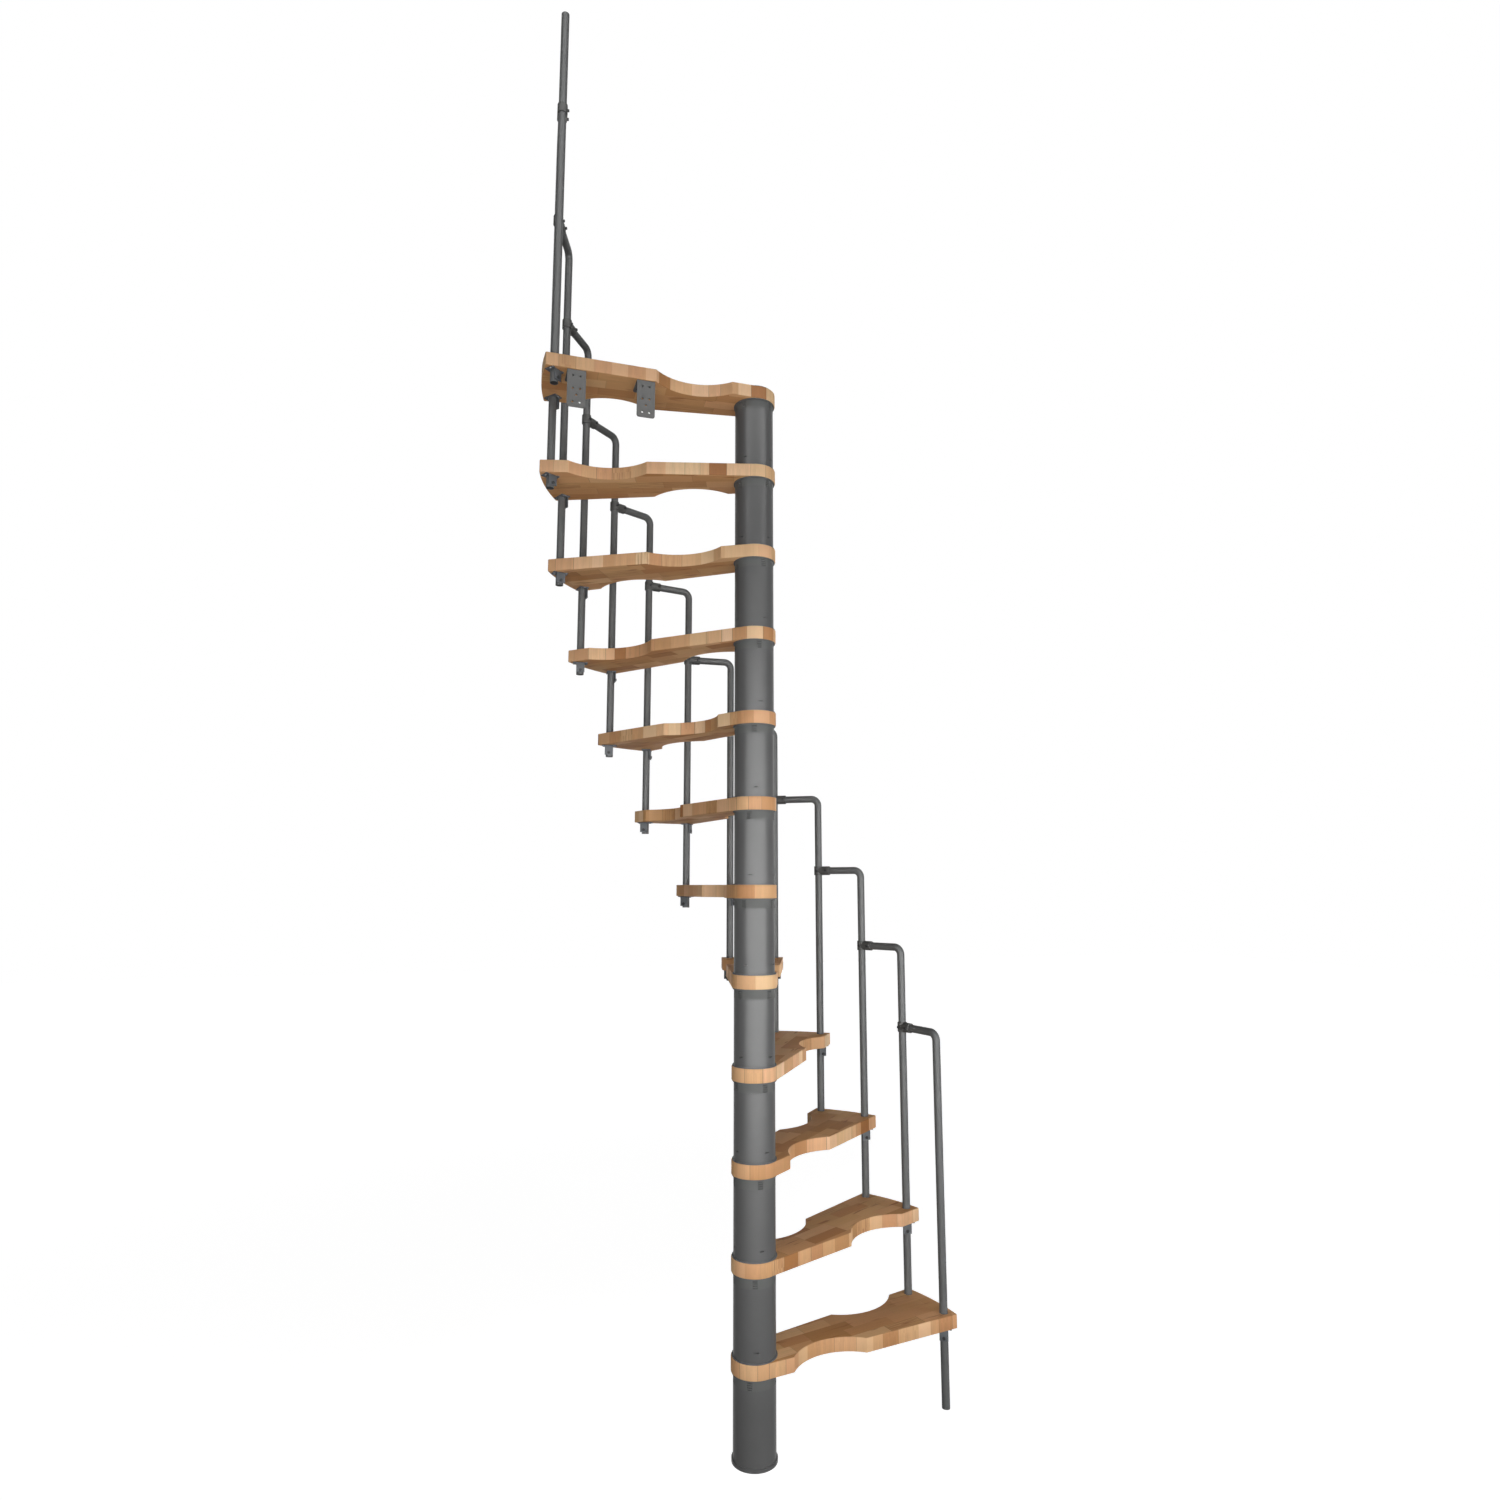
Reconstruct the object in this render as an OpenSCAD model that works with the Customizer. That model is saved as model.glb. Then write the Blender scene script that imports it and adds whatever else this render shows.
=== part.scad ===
// Space-saving winding stair: twelve alternating beech treads on a stacked steel column,
// with bent tube balusters that also make the handrail. Millimetres, +Z up, origin at the
// centre of the base disc's bottom face. The landing side of the last tread faces -Y.

/* [Stair] */
// Height from one tread to the next
rise = 230; // [215:1:250]
// Turn from one tread to the next, in degrees
step_turn = 14.7; // [13.8:0.1:15.4]

/* [Treads] */
// Thickness of a tread
tread_t = 35; // [32:1:45]
// Radius of the treads' outer ends about the column
tread_reach = 592; // [585:1:620]
// Radius of the round end that sits on the column
ring_r = 59; // [58:0.5:64]
// Angle between a tread's side and its centre line, in degrees
side_flare = 4; // [3.5:0.1:5]
// Length of a scalloped cut-out along the tread's side
scallop_len = 214; // [190:1:220]
// Depth of a scalloped cut-out
scallop_depth = 44; // [35:1:50]
// Distance along the tread to the middle of the inner scallop
inner_scallop_x = 183; // [170:1:190]
// Distance along the tread to the middle of the outer scallop
outer_scallop_x = 400; // [395:1:410]

/* [Column] */
// Outer radius of the column tubes
column_r = 53.5; // [50:0.5:55]
// Wall of the column tubes
column_wall = 3; // [2:0.5:5]
// Radius of the thin lips above and below each tread
lip_r = 57; // [56:0.5:58]
// Thickness of a lip
lip_t = 3; // [2:0.5:4]
// Height of the slotted collar under each tread, without its lip
collar_h = 22; // [20:1:26]
// Thickness of the base disc
base_t = 8; // [6:1:12]
// Radius of the tie rod inside the column
rod_r = 10; // [8:0.5:12]

/* [Railing] */
// Radius of the circle that the balusters stand on
baluster_circle = 564; // [555:1:568]
// Outer diameter of the baluster tube
tube_d = 22; // [20:1:25]
// Wall of the baluster tube
tube_wall = 1.5; // [1.2:0.1:2]
// Height of the handrail's centre above its own tread
rail_h = 735; // [680:5:900]
// Radius of the bend between baluster and handrail, at the tube's centre
bend_r = 22; // [20:1:40]
// Height of the last post above the last tread
post_h = 1032; // [900:1:1100]
// How far a baluster reaches below the tread underneath it
stub_drop = 36; // [34:1:50]
// Outer diameter of the tee clamps
clamp_d = 28; // [26:0.5:32]
// Length of a tee clamp's side sleeve, from the axis of the tube it grips
clamp_len = 38; // [32:1:45]

/* [Tread brackets] */
// Length of a bracket's plate under the tread
plate_len = 42; // [40:1:52]
// Width of a bracket's leg
leg_w = 24; // [22:1:30]
// Height of a bracket's leg
leg_h = 31; // [26:1:33]
// Sheet thickness of the brackets
sheet_t = 3; // [2:0.5:4]

/* [Landing plates] */
// Width of a landing plate
landing_w = 49; // [46:1:60]
// Height of a landing plate below the last tread
landing_h = 107; // [104:1:120]
// Depth of the leg under the last tread
landing_leg = 68; // [50:1:75]
// Sheet thickness of the landing plates
landing_t = 4; // [3:0.5:5]
// Sideways distance between the holes of a pair
hole_gap = 19; // [16:1:24]
// Distance along the last tread to the middle of the inner plate
inner_plate_x = 318; // [318:1:350]
// Distance along the last tread to the middle of the outer plate
outer_plate_x = 503; // [480:1:520]
// Radius of the screw holes
screw_r = 2.75; // [2.5:0.25:3.5]

/* [Hidden] */
$fn = 96;
fit = 0.1;
tread_count = 12;
first_top = base_t + rise;
column_bore_r = column_r - column_wall;
tube_r = tube_d / 2;
rod_hole_r = rod_r + 0.5;
scallop_r = (pow(scallop_len / 2, 2) + pow(scallop_depth, 2)) / (2 * scallop_depth);
baluster_gap = 2 * baluster_circle * sin(step_turn / 2);
side_inset = 0.4;
anchor_pcd = 70;
anchor_r = 4.5;
nut_h = 16;
nut_r = 17;
cap_t = 4;
plug_t = 3;
leg_corner_r = 8;

// a landing plate's corners and how far its holes are below the tread
plate_corner_r = 7;
pair_drops = [20, 55, 93];
single_drop = 73;

// the slits of a collar and the single slots of a tube, in four groups round the column
slit_w = 13;
slit_h = 1.7;
slit_rows = 4;
first_slit = 0.2 * collar_h;
slit_pitch = 0.24 * collar_h;
slit_turn = 45;
slot_w = 12;
slot_h = 2.2;
slot_z = 26;
slot_turn = 64;

// the last tread's landing side lies along X, so its centre line is turned by the flare
last_angle = 180 - side_flare;

wood = "#c39a6b";
wood_dark = "#b58a5c";
steel = "#6b6c6c";
steel_dark = "#4a4b4b";

function tread_angle(k) = last_angle - (tread_count - k) * step_turn;
function tread_top(k) = first_top + (k - 1) * rise;
function baluster_angle(k) = tread_angle(k) - step_turn / 2;
function baluster_foot(k) = k == 1 ? 0 : tread_top(k - 1) - tread_t - stub_drop;
function rail_z(k) = tread_top(k) + rail_h;
// half the width of a plain tread at a distance x along it, before its scallops
function side_y(x) = (ring_r - side_inset) / cos(side_flare) + x * tan(side_flare);

module at_tread(k) {
    rotate([0, 0, tread_angle(k)]) translate([0, 0, tread_top(k)]) children();
}

// stands at baluster k with +X along its handrail, towards the next baluster
module at_baluster(k) {
    rotate([0, 0, baluster_angle(k)]) translate([baluster_circle, 0, 0])
        rotate([0, 0, 90 + step_turn / 2]) children();
}

// side = -1 cuts the front (nosing) side, 1 the rear side
module scallop(x, side) {
    depth_x = x - (scallop_r - scallop_depth) * sin(side_flare);
    depth_y = side_y(x) + (scallop_r - scallop_depth) * cos(side_flare);
    translate([depth_x, side * depth_y, -1]) cylinder(r = scallop_r, h = tread_t + 2);
}

module tread(k) {
    odd = k % 2 == 1;
    far_x = tread_reach + 10;
    color(odd ? wood : wood_dark) at_tread(k) translate([0, 0, -tread_t]) difference() {
        union() {
            cylinder(r = ring_r, h = tread_t);
            intersection() {
                linear_extrude(tread_t) polygon([
                    [0, -side_y(0)], [far_x, -side_y(far_x)],
                    [far_x, side_y(far_x)], [0, side_y(0)]
                ]);
                cylinder(r = tread_reach, h = tread_t);
            }
        }
        scallop(odd ? inner_scallop_x : outer_scallop_x, -1);
        scallop(odd ? outer_scallop_x : inner_scallop_x, 1);
        translate([0, 0, -1]) cylinder(r = rod_hole_r, h = tread_t + 2);
        for (side = [-1, 1]) rotate([0, 0, side * step_turn / 2])
            translate([baluster_circle, 0, -1]) cylinder(r = tube_r + fit, h = tread_t + 2);
    }
}

module base_disc() {
    color(steel) difference() {
        cylinder(r = lip_r, h = base_t);
        for (a = [45 : 90 : 315]) rotate([0, 0, a])
            translate([anchor_pcd / 2, 0, -1]) cylinder(r = anchor_r, h = base_t + 2);
    }
}

// the tie rod that draws base, tubes and treads together
module centre_rod() {
    rod_top = tread_top(tread_count) + cap_t + nut_h / 2;
    color(steel_dark) translate([0, 0, base_t]) cylinder(r = rod_r, h = rod_top - base_t);
}

module top_cap() {
    color(steel) translate([0, 0, tread_top(tread_count)]) difference() {
        union() {
            cylinder(r = column_r, h = cap_t);
            cylinder(r = nut_r, h = cap_t + nut_h, $fn = 6);
        }
        translate([0, 0, -1]) cylinder(r = rod_r + fit, h = cap_t + nut_h / 2 + 1);
    }
}

// thin lips that stand on each tread but the last, under the next tube
module foot_rings() {
    color(steel_dark) for (k = [1 : tread_count - 1]) translate([0, 0, tread_top(k)])
        difference() {
            cylinder(r = lip_r, h = lip_t);
            translate([0, 0, -1]) cylinder(r = rod_hole_r, h = lip_t + 2);
        }
}

// a slotted skirt with a lip on top, under each tread
module collars() {
    color(steel) for (k = [1 : tread_count]) at_tread(k) translate([0, 0, -tread_t - lip_t])
        difference() {
            union() {
                cylinder(r = lip_r, h = lip_t);
                translate([0, 0, -collar_h]) cylinder(r = column_r, h = collar_h);
            }
            translate([0, 0, -collar_h - 1]) cylinder(r = column_bore_r, h = collar_h + 1);
            translate([0, 0, -1]) cylinder(r = rod_hole_r, h = lip_t + 2);
            for (group = [0 : 3], row = [0 : slit_rows - 1])
                rotate([0, 0, slit_turn + group * 90])
                    translate([column_bore_r - 2, -slit_w / 2, -first_slit - row * slit_pitch])
                        cube([column_wall + 4, slit_w, slit_h]);
        }
}

// k = 1 stands on the base disc, the others on the foot ring of the tread below
module column_tube(k) {
    foot = k == 1 ? base_t : tread_top(k - 1) + lip_t;
    head = tread_top(k) - tread_t - lip_t - collar_h;
    color(steel) translate([0, 0, foot]) difference() {
        cylinder(r = column_r, h = head - foot);
        translate([0, 0, -1]) cylinder(r = column_bore_r, h = head - foot + 2);
        if (k > 1) for (group = [0 : 3])
            rotate([0, 0, tread_angle(k - 1) + slot_turn + group * 90])
                translate([column_bore_r - 2, -slot_w / 2, slot_z - lip_t - slot_h / 2])
                    cube([column_wall + 4, slot_w, slot_h]);
    }
}

// a rod bent once through a right angle, from foot up to top and then along +X
module bent_rod(r, foot, top, run) {
    translate([0, 0, foot]) cylinder(r = r, h = top - bend_r - foot);
    translate([bend_r, 0, top - bend_r]) rotate([90, 0, 0]) rotate([0, 0, 90])
        rotate_extrude(angle = 90) translate([bend_r, 0]) circle(r = r);
    translate([bend_r, 0, top]) rotate([0, 90, 0]) cylinder(r = r, h = run - bend_r);
}

module baluster(k) {
    run = baluster_gap - tube_r - 1;
    color(steel) at_baluster(k) difference() {
        bent_rod(tube_r, baluster_foot(k), rail_z(k), run);
        bent_rod(tube_r - tube_wall, baluster_foot(k) - 1, rail_z(k), run + 1);
    }
}

// the straight post past the last tread, which ends the handrail
module top_post() {
    foot = baluster_foot(tread_count + 1);
    top = tread_top(tread_count) + post_h;
    color(steel) at_baluster(tread_count + 1) translate([0, 0, foot]) difference() {
        cylinder(r = tube_r, h = top - foot);
        translate([0, 0, -1]) cylinder(r = tube_r - tube_wall, h = top - foot + 2);
    }
}

// plastic plugs in the open feet of the tubes and in the head of the last post
module tube_plugs() {
    plug_r = tube_r - tube_wall - fit;
    color(steel_dark) {
        for (k = [1 : tread_count + 1]) at_baluster(k)
            translate([0, 0, baluster_foot(k)]) cylinder(r = plug_r, h = plug_t);
        at_baluster(tread_count + 1)
            translate([0, 0, tread_top(tread_count) + post_h - plug_t]) cylinder(r = plug_r, h = plug_t);
    }
}

// a tee that grips baluster k + 1 and takes the end of baluster k's handrail
module rail_clamps() {
    color(steel_dark) for (k = [1 : tread_count]) at_baluster(k)
        translate([baluster_gap, 0, rail_z(k)]) rotate([0, 0, 180]) difference() {
            union() {
                translate([0, 0, -clamp_d / 2]) cylinder(d = clamp_d, h = clamp_d);
                rotate([0, 90, 0]) cylinder(d = clamp_d, h = clamp_len);
            }
            translate([0, 0, -clamp_d / 2 - 1]) cylinder(r = tube_r + fit, h = clamp_d + 2);
            translate([tube_r + 1, 0, 0]) rotate([0, 90, 0])
                cylinder(r = tube_r + fit, h = clamp_len);
        }
}

// an angle under the tread round one tube, with its leg beside the tube on the -Y side
module tread_bracket() {
    leg_y = -tube_r - fit - sheet_t;
    difference() {
        translate([-plate_len / 2, leg_y, -sheet_t])
            cube([plate_len, sheet_t + 2 * (tube_r + fit) + 2, sheet_t]);
        translate([0, 0, -sheet_t - 1]) cylinder(r = tube_r + fit, h = sheet_t + 2);
    }
    translate([-leg_w / 2, leg_y, leg_corner_r - leg_h])
        cube([leg_w, sheet_t, leg_h - leg_corner_r - sheet_t]);
    translate([leg_corner_r - leg_w / 2, leg_y, -leg_h])
        cube([leg_w - 2 * leg_corner_r, sheet_t, leg_corner_r]);
    for (side = [-1, 1])
        translate([side * (leg_w / 2 - leg_corner_r), leg_y + sheet_t, leg_corner_r - leg_h])
            rotate([90, 0, 0]) cylinder(r = leg_corner_r, h = sheet_t);
}

// one bracket at each corner of a tread, lying along the corner's diagonal
module tread_brackets() {
    color(steel_dark) for (k = [1 : tread_count], side = [-1, 1])
        at_tread(k) translate([0, 0, -tread_t]) rotate([0, 0, side * step_turn / 2])
            translate([baluster_circle, 0, 0]) rotate([0, 0, side * (45 - step_turn / 2)])
                mirror([0, side > 0 ? 1 : 0, 0]) tread_bracket();
}

// an angle plate under the landing side of the last tread, x along its side line
module landing_plate(x) {
    side_x = x - landing_w / 2;
    color(steel) at_tread(tread_count) translate([0, side_y(0), -tread_t])
        rotate([0, 0, side_flare]) translate([side_x, 0, 0]) difference() {
            union() {
                translate([0, -landing_leg, -landing_t]) cube([landing_w, landing_leg, landing_t]);
                translate([0, -landing_t, plate_corner_r - landing_h])
                    cube([landing_w, landing_t, landing_h - plate_corner_r]);
                translate([plate_corner_r, -landing_t, -landing_h])
                    cube([landing_w - 2 * plate_corner_r, landing_t, plate_corner_r]);
                for (cx = [plate_corner_r, landing_w - plate_corner_r])
                    translate([cx, 0, plate_corner_r - landing_h]) rotate([90, 0, 0])
                        cylinder(r = plate_corner_r, h = landing_t);
            }
            for (drop = pair_drops, dx = [-hole_gap / 2, hole_gap / 2])
                translate([landing_w / 2 + dx, 1, -drop]) rotate([90, 0, 0])
                    cylinder(r = screw_r, h = landing_t + 2);
            translate([landing_w / 2, 1, -single_drop]) rotate([90, 0, 0])
                cylinder(r = screw_r, h = landing_t + 2);
        }
}

module landing_plate_inner() { landing_plate(inner_plate_x); }
module landing_plate_outer() { landing_plate(outer_plate_x); }

base_disc();
centre_rod();
top_cap();
foot_rings();
collars();
column_tube(1);  // column_tube_01
column_tube(2);  // column_tube_02
column_tube(3);  // column_tube_03
column_tube(4);  // column_tube_04
column_tube(5);  // column_tube_05
column_tube(6);  // column_tube_06
column_tube(7);  // column_tube_07
column_tube(8);  // column_tube_08
column_tube(9);  // column_tube_09
column_tube(10);  // column_tube_10
column_tube(11);  // column_tube_11
column_tube(12);  // column_tube_12
tread(1);  // tread_01
tread(2);  // tread_02
tread(3);  // tread_03
tread(4);  // tread_04
tread(5);  // tread_05
tread(6);  // tread_06
tread(7);  // tread_07
tread(8);  // tread_08
tread(9);  // tread_09
tread(10);  // tread_10
tread(11);  // tread_11
tread(12);  // tread_12
baluster(1);  // baluster_01
baluster(2);  // baluster_02
baluster(3);  // baluster_03
baluster(4);  // baluster_04
baluster(5);  // baluster_05
baluster(6);  // baluster_06
baluster(7);  // baluster_07
baluster(8);  // baluster_08
baluster(9);  // baluster_09
baluster(10);  // baluster_10
baluster(11);  // baluster_11
baluster(12);  // baluster_12
top_post();
tube_plugs();
rail_clamps();
tread_brackets();
landing_plate_inner();
landing_plate_outer();
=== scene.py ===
import math
import bpy
from mathutils import Matrix, Vector, geometry


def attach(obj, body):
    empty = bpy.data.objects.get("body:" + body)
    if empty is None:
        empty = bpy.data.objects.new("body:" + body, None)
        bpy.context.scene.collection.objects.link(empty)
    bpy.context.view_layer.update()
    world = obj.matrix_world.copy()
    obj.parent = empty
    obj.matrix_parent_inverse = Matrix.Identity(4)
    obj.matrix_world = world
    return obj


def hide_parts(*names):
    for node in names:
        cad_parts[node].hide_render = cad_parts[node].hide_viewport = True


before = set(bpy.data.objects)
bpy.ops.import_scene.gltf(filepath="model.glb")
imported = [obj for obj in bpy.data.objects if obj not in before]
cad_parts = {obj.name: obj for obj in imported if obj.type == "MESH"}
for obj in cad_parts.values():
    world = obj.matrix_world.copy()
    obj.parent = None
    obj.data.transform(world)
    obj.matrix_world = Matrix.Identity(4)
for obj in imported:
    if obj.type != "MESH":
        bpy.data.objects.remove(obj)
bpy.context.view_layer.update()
print("stage: frame loaded,", len(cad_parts), "nodes")

mm = 0.001  # the scene is in metres
tiny = 1e-7  # points closer than this are one point
crispAngle = math.radians(35)  # edges that turn more than this stay crisp
stair = {
    "treads": 12, "rise": 230 * mm, "firstTop": 238 * mm, "treadT": 35 * mm,
    "turn": math.radians(14.7), "lastAngle": math.radians(176),  # between treads, and the top tread's own
    "tubeCircle": 564 * mm, "railHeight": 735 * mm,  # the balusters' circle, and a clamp above its tread
}


def treadAngle(k):
    return stair["lastAngle"] - (stair["treads"] - k) * stair["turn"]


def treadTop(k):
    return stair["firstTop"] + (k - 1) * stair["rise"]


# tube k stands between treads k - 1 and k
def tubeSpot(k, z):
    angle = treadAngle(k) - stair["turn"] / 2
    return Vector((math.cos(angle) * stair["tubeCircle"], math.sin(angle) * stair["tubeCircle"], z))


# an sRGB hex code as linear red, green, blue and alpha
def srgb(code):
    parts = [int(code[i:i + 2], 16) / 255 for i in (1, 3, 5)]
    return tuple(p / 12.92 if p <= 0.04045 else ((p + 0.055) / 1.055) ** 2.4 for p in parts) + (1.0,)


# adds a node with its settings; an input is linked if it is given a socket, and set otherwise
# a Mix node's inputs go by number: 0 its factor, 2 and 3 its floats, 4 and 5 its vectors, 6 and 7 its colours
def addNode(tree, kind, inputs=None, **settings):
    node = tree.nodes.new(kind)
    for name, value in settings.items():
        setattr(node, name, value)
    for name, value in (inputs or {}).items():
        if isinstance(value, bpy.types.NodeSocket):
            tree.links.new(value, node.inputs[name])
        else:
            node.inputs[name].default_value = value
    return node


def newMaterial(name):
    material = bpy.data.materials.new(name)
    material.use_nodes = True
    material.node_tree.nodes.clear()
    return material, material.node_tree


def ring(radius, z, count):
    return [Vector((radius * math.cos(2 * math.pi * i / count),
                    radius * math.sin(2 * math.pi * i / count), z)) for i in range(count)]


# a hexagon drawn with as many points as the round rings that it is joined to
def hexRing(apothem, z, count):
    points = []
    for i in range(count):
        angle = 2 * math.pi * i / count
        off = (angle + math.pi / 6) % (math.pi / 3) - math.pi / 6
        radius = apothem / math.cos(off)
        points.append(Vector((radius * math.cos(angle), radius * math.sin(angle), z)))
    return points


# skins a row of rings; closed joins the last ring to the first, otherwise both ends are capped
def loft(rings, closed=False):
    count = len(rings[0])
    verts = [p for r in rings for p in r]
    faces = []
    last = len(rings) if closed else len(rings) - 1
    for j in range(last):
        a, b = j * count, (j + 1) % len(rings) * count
        faces += [(a + i, a + (i + 1) % count, b + (i + 1) % count, b + i) for i in range(count)]
    if not closed:
        faces.append(tuple(reversed(range(count))))
        faces.append(tuple(range((len(rings) - 1) * count, len(rings) * count)))
    return verts, faces


def moved(shape, matrix):
    return [matrix @ p for p in shape[0]], shape[1]


def joined(shapes):
    verts, faces = [], []
    for points, polygons in shapes:
        base = len(verts)
        verts += points
        faces += [tuple(base + i for i in f) for f in polygons]
    return verts, faces


def addPiece(name, shape, material, matrix=None):
    mesh = bpy.data.meshes.new(name)
    mesh.from_pydata([tuple(p) for p in shape[0]], [], shape[1])
    mesh.validate()
    mesh.shade_smooth()
    mesh.set_sharp_from_angle(angle=crispAngle)
    mesh.materials.append(material)
    piece = bpy.data.objects.new(name, mesh)
    bpy.context.scene.collection.objects.link(piece)
    if matrix is not None:
        piece.matrix_world = matrix
    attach(piece, "root")
    return piece


# moves a contour sideways, to the left of the way it runs
def inset(loop, amount):
    leastShare = 0.35  # stops a sharp corner from shooting far out
    out = []
    for i, p in enumerate(loop):
        before = (p - loop[i - 1]).normalized()
        after = (loop[(i + 1) % len(loop)] - p).normalized()
        normal = Vector((-before.y - after.y, before.x + after.x)).normalized()
        share = max(leastShare, normal.dot(Vector((-before.y, before.x))))
        out.append(p + normal * (amount / share))
    return out


# rounds the corners that turn more than least degrees and have room for the radius
def rounded(points, radius, least=18, steps=4):
    room = 0.6  # the share of the shorter side that a corner may use up
    out = []
    for i, p in enumerate(points):
        back, ahead = points[i - 1] - p, points[(i + 1) % len(points)] - p
        bend = math.pi - back.angle(ahead)
        reach = radius * math.tan(bend / 2)
        if math.degrees(bend) < least or reach > room * min(back.length, ahead.length):
            out.append(p)
            continue
        start, end = p + back.normalized() * reach, p + ahead.normalized() * reach
        for j in range(steps + 1):
            t = j / steps
            out.append(start * (1 - t) ** 2 + p * 2 * t * (1 - t) + end * t * t)
    return out


# a hole's contour, which runs clockwise
def circleLoop(radius, centre=(0, 0), count=40):
    return [Vector((centre[0] + radius * math.cos(-2 * math.pi * i / count),
                    centre[1] + radius * math.sin(-2 * math.pi * i / count))) for i in range(count)]


# odd crossings of a level line to the right mean that the point is inside
def encloses(loop, point):
    crossings = [(a, b) for a, b in zip(loop, loop[1:] + loop[:1]) if (a.y > point.y) != (b.y > point.y)]
    return sum(point.x < a.x + (b.x - a.x) * (point.y - a.y) / (b.y - a.y) for a, b in crossings) % 2 == 1


# a flat plate with softened edges; its outline runs counter-clockwise and its holes clockwise, so that
# inset draws both back into the material; places say where each corner lies on its face, in metres
def slab(outline, holes, low, high, edge, steps=3, bars=()):
    # how far back from the contour, and how high, each row of points lies
    levels = [(edge * (1 - math.sin(a)), low + edge * (1 - math.cos(a)))
              for a in [j * math.pi / 2 / steps for j in range(steps + 1)]]
    levels += [(back, low + high - z) for back, z in reversed(levels)]
    verts, faces, places, sides = [], [], [], []
    contours = [outline] + holes
    starts = []
    for contour in contours:
        count = len(contour)
        along = [0.0]
        for i in range(count):
            along.append(along[-1] + (contour[(i + 1) % count] - contour[i]).length)
        base = len(verts)
        starts.append(base)
        for back, z in levels:
            verts += [Vector((p.x, p.y, z)) for p in inset(contour, back)]
        for j in range(len(levels) - 1):
            for i in range(count):
                a, b = base + j * count, base + (j + 1) * count
                n = (i + 1) % count
                faces.append((a + i, a + n, b + n, b + i))
                zLow, zHigh = levels[j][1], levels[j + 1][1]
                places.append([(along[i], zLow), (along[i + 1], zLow),
                               (along[i + 1], zHigh), (along[i], zHigh)])
                sides.append(1.0)
    flat, edges = [], []
    for contour, base in zip(contours, starts):
        first = len(flat)
        flat += [verts[base + i].to_2d() for i in range(len(contour))]
        edges += [(first + i, first + (i + 1) % len(contour)) for i in range(len(contour))]
    # the flat faces: triangles between the contours, less those inside a hole
    found = geometry.delaunay_2d_cdt(flat, edges + list(bars), [], 4, tiny)
    owner = [ids[0] for ids in found[3]]
    lowIds = [base + i for contour, base in zip(contours, starts) for i in range(len(contour))]
    highIds = [base + (len(levels) - 1) * len(contour) + i
               for contour, base in zip(contours, starts) for i in range(len(contour))]
    openings = [inset(hole, levels[0][0]) for hole in holes]
    for triangle in found[2]:
        ids = [owner[i] for i in triangle]
        middle = sum((flat[i] for i in ids), Vector((0, 0))) / 3
        if any(encloses(hole, middle) for hole in openings):
            continue
        for chosen in ([lowIds[i] for i in reversed(ids)], [highIds[i] for i in ids]):
            faces.append(tuple(chosen))
            places.append([(verts[i].x, verts[i].y) for i in chosen])
            sides.append(0.0)
    return verts, faces, places, sides


# a slab whose material can tell where it is on the board, and faces from sides
def addSlab(name, shape, material, matrix):
    piece = addPiece(name, shape[:2], material, matrix)
    layer = piece.data.uv_layers.new(name="boardPlace")
    for polygon, corners in zip(piece.data.polygons, shape[2]):
        for index, corner in zip(polygon.loop_indices, corners):
            layer.data[index].uv = corner
    side = piece.data.attributes.new("sideFace", "FLOAT", "FACE")
    side.data.foreach_set("value", shape[3])
    return piece


# beech staves glued edge to edge, sanded and lacquered: soft blocks and bands of many warm tones, dull shine
# the grain and flecks are drawn coarser than beech's own, which would be too fine to show
beechLook = {
    "staveW": 38 * mm, "staveL": 118 * mm,  # the blocks on the faces
    "bandW": 46 * mm, "stripW": 8 * mm,  # the upright bands on the sides, and the strips within them
    "faceTones": ((0.0, "#b17f53"), (0.2, "#c08e60"), (0.5, "#ca996c"), (0.8, "#d3a476"), (1.0, "#dcb085")),
    "sideTones": ((0.0, "#a06940"), (0.04, "#ae7b50"), (0.08, "#c6966a"), (0.3, "#d1a278"), (0.6, "#daad84"),
                  (0.85, "#e4bc93"), (1.0, "#ebc9a3")),
    "pinkLean": (1.02, 0.965, 0.955, 1), "strawLean": (0.98, 0.995, 0.92, 1),  # multiply the tones
    "grainW": 3.85 * mm, "grainL": 111 * mm, "sideGrainW": 5.9 * mm, "sideGrainL": 143 * mm,
    "grainDepth": (0.06, 0.45),  # from the plainest stave to the liveliest
    "stripMiddle": 0.6, "stripDepth": 0.25,
    "fleckNarrower": 3.2, "fleckShorter": 22.0,  # than the grain, so 1.2 by 5 mm on the faces
    "fleckFrom": (0.66, 0.74), "fleckTone": 0.9,
    "heart": "#96603e", "heartStaves": (0.88, 0.94), "heartVeins": (0.46, 0.6), "heartDepth": 0.6,
    "patchW": 17.2 * mm, "patchL": 125 * mm, "patchFrom": (0.62, 0.7), "patchDepth": 0.72,
    "jointCore": 0.4 * mm, "jointW": 1.2 * mm, "darkJoints": (0.6, 0.95),
    "paleJoint": 0.97, "faceJoint": 0.62, "sideJoint": 0.38,  # the faintest joint and the two darkest
    "rowCore": 0.2 * mm, "rowW": 0.6 * mm, "rowTone": 0.975,
    "rowsApart": 7.31, "bandsApart": 47.9, "rowShift": 311.0,  # so that no two treads or rows look alike
    "roughness": (0.52, 0.64), "relief": 0.2 * mm, "bump": 0.2, "ior": 1.5,
    "sheen": 0.02,  # far below a lacquer's own, as the white all round would veil the treads seen edge-on
}


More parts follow.
